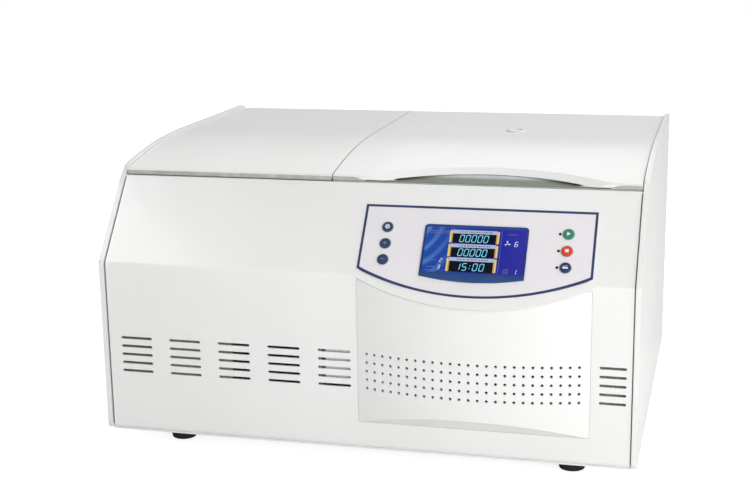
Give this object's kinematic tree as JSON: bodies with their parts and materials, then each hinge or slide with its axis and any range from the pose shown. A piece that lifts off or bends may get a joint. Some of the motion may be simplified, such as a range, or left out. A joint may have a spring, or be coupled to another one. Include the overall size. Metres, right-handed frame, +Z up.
{
  "type": "laboratory centrifuge",
  "caption": "Bench-top refrigerated laboratory centrifuge: hinged lid over a rotor chamber, sloping console with display and buttons, convex perforated bay, vent slots, rubber feet.",
  "frame": {"origin": "centre of the bounding box's underside, on the plane the feet stand on", "axes": "+Z up, -Y towards the console and front face, +X to the right seen from the front"},
  "size_m": [0.62, 0.5231, 0.3443],
  "materials": {
    "casing_paint": "gloss",
    "rear_paint": "satin",
    "fascia_film": "satin",
    "display_frame": "gloss",
    "display_glass": "gloss",
    "button_navy": "satin",
    "button_green": "satin",
    "button_red": "satin",
    "lamp_dark": "gloss",
    "black_plastic": "satin",
    "pocket_grey": "satin",
    "port_grey": "gloss",
    "rubber_black": "matte",
    "zinc_steel": "satin",
    "bright_steel": "polished",
    "stainless": "brushed",
    "black_paint": "gloss",
    "anodised_alu": "satin",
    "knob_black": "satin",
    "copper": "satin",
    "foam": "matte",
    "circuit_green": "satin",
    "cable_black": "satin"
  },
  "bodies": {
    "casing": {"base_pan": "rear_paint", "rubber_feet": "rubber_black", "front_panel": "casing_paint", "control_fascia": "fascia_film", "lcd_bezel": "display_frame", "lcd_module": "display_glass", "status_leds": "lamp_dark", "control_board": "circuit_green", "front_grille": "casing_paint", "front_seal": "rubber_black", "right_side_panel": "casing_paint", "left_side_panel": "casing_paint", "panel_screws": "zinc_steel", "rear_panel": "rear_paint", "fixed_top_cover": "casing_paint", "hinge_brackets": "zinc_steel", "rear_beam": "rear_paint", "lock_housings": "zinc_steel", "lock_solenoids": "black_paint", "deck_plate": "rear_paint", "partition_wall": "rear_paint", "chamber_bowl": "stainless", "chamber_insulation": "foam", "guard_ring": "zinc_steel", "evaporator_coil": "copper", "shaft_boot": "rubber_black", "drive_motor": "black_paint", "motor_plate": "zinc_steel", "rubber_mounts": "rubber_black", "compressor": "black_paint", "condenser": "anodised_alu", "fan_frame": "black_plastic", "refrigerant_lines": "copper", "drive_board": "circuit_green", "wiring_harness": "cable_black", "power_inlet": "black_plastic", "power_switch": "black_plastic"},
    "lid": {"lid_shell": "casing_paint", "handle_pocket": "pocket_grey", "lid_inner_plate": "rear_paint", "lid_gasket": "rubber_black", "sight_port": "port_grey", "hinge_arms": "zinc_steel", "hinge_pins": "bright_steel", "lock_strikers": "zinc_steel"},
    "rotor": {"motor_shaft": "bright_steel", "angle_rotor": "anodised_alu", "rotor_lid": "anodised_alu"},
    "rotor_knob": {"rotor_knob": "knob_black"},
    "fan": {"fan_blades": "black_plastic"},
    "spring_tubes": {"gas_spring_tubes": "black_paint"},
    "spring_rods": {"gas_spring_rods": "bright_steel"},
    "lock_bolts": {"lock_bolts": "bright_steel"},
    "rocker": {"power_rocker": "black_plastic"},
    "settings_button": {"settings_button": "button_navy"},
    "plus_button": {"plus_button": "button_navy"},
    "minus_button": {"minus_button": "button_navy"},
    "start_button": {"start_button": "button_green"},
    "stop_button": {"stop_button": "button_red"},
    "lid_button": {"lid_button": "button_navy"}
  },
  "joints": [
    {"name": "lid_hinge", "type": "hinge", "parent": "casing", "child": "lid", "pos_m": [0.128, 0.23765, 0.3222], "axis": [-1, 0, 0], "range_deg": [0, 75]},
    {"name": "rotor_spin", "type": "hinge", "parent": "casing", "child": "rotor", "pos_m": [0.1277, 0.05965, 0.227], "axis": [0, 0, 1], "continuous": true},
    {"name": "rotor_knob_turn", "type": "hinge", "parent": "rotor", "child": "rotor_knob", "pos_m": [0.1277, 0.05965, 0.297], "axis": [0, 0, 1], "range_deg": [0, 360]},
    {"name": "fan_spin", "type": "hinge", "parent": "casing", "child": "fan", "pos_m": [-0.18, 0.22665, 0.162], "axis": [0, 1, 0], "continuous": true},
    {"name": "spring_swing", "type": "hinge", "parent": "casing", "child": "spring_tubes", "pos_m": [0.128, 0.23765, 0.2112], "axis": [-1, 0, 0], "range_deg": [0, 12.53]},
    {"name": "spring_extend", "type": "slide", "parent": "spring_tubes", "child": "spring_rods", "axis": [0, -0.3162, 0.9487], "range_m": [0, 0.03339]},
    {"name": "lock_bolt_slide", "type": "slide", "parent": "casing", "child": "lock_bolts", "axis": [1, 0, 0], "range_m": [0, 0.014]},
    {"name": "rocker_tilt", "type": "hinge", "parent": "casing", "child": "rocker", "pos_m": [0.178, 0.25665, 0.069], "axis": [-1, 0, 0], "range_deg": [0, 14]},
    {"name": "settings_press", "type": "slide", "parent": "casing", "child": "settings_button", "axis": [0, 0.7749, -0.632], "range_m": [0, 0.0008]},
    {"name": "plus_press", "type": "slide", "parent": "casing", "child": "plus_button", "axis": [0, 0.7749, -0.632], "range_m": [0, 0.0008]},
    {"name": "minus_press", "type": "slide", "parent": "casing", "child": "minus_button", "axis": [0, 0.7749, -0.632], "range_m": [0, 0.0008]},
    {"name": "start_press", "type": "slide", "parent": "casing", "child": "start_button", "axis": [0, 0.7749, -0.632], "range_m": [0, 0.0008]},
    {"name": "stop_press", "type": "slide", "parent": "casing", "child": "stop_button", "axis": [0, 0.7749, -0.632], "range_m": [0, 0.0008]},
    {"name": "lid_press", "type": "slide", "parent": "casing", "child": "lid_button", "axis": [0, 0.7749, -0.632], "range_m": [0, 0.0008]}
  ],
  "couplings": [
    {"joint": "spring_swing", "follows": "lid_hinge", "ratio": 0.16687},
    {"joint": "spring_extend", "follows": "lid_hinge", "m_per_rad": 0.025472}
  ]
}
